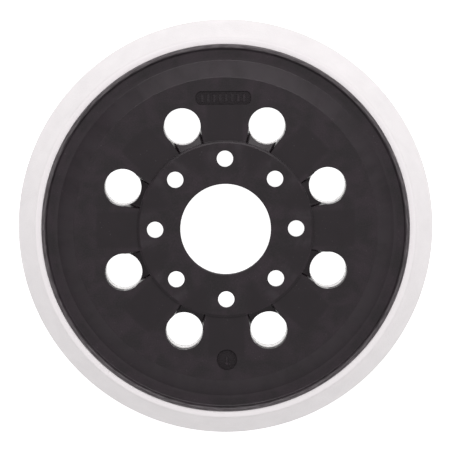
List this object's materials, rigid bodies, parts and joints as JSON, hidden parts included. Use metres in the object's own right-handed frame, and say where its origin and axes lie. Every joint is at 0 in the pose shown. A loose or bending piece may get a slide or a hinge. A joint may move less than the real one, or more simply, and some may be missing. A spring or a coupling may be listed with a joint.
{
  "type": "sanding backing pad",
  "caption": "Round backing pad for a random orbital sander: black nylon plate with screw and dust holes, white foam ring, hook sheet.",
  "frame": {"origin": "on the pad's axis, at the face that the sanding disc is pressed on to", "axes": "+Z along the pad's axis, from the hooks towards the sander; +X through the first screw hole; +Y through the long moulded recess"},
  "size_m": [0.1225, 0.1225, 0.0135],
  "materials": {
    "nylon": "moulded, satin, faint flow marks",
    "foam": "smooth moulded skin of polyurethane foam",
    "adhesive": "thin cured film",
    "hooks": "woven tape of stiff nylon hooks"
  },
  "bodies": {
    "root": {"backing_plate": "nylon", "foam_cushion": "foam", "adhesive_film": "adhesive", "hook_sheet": "hooks"}
  },
  "joints": []
}
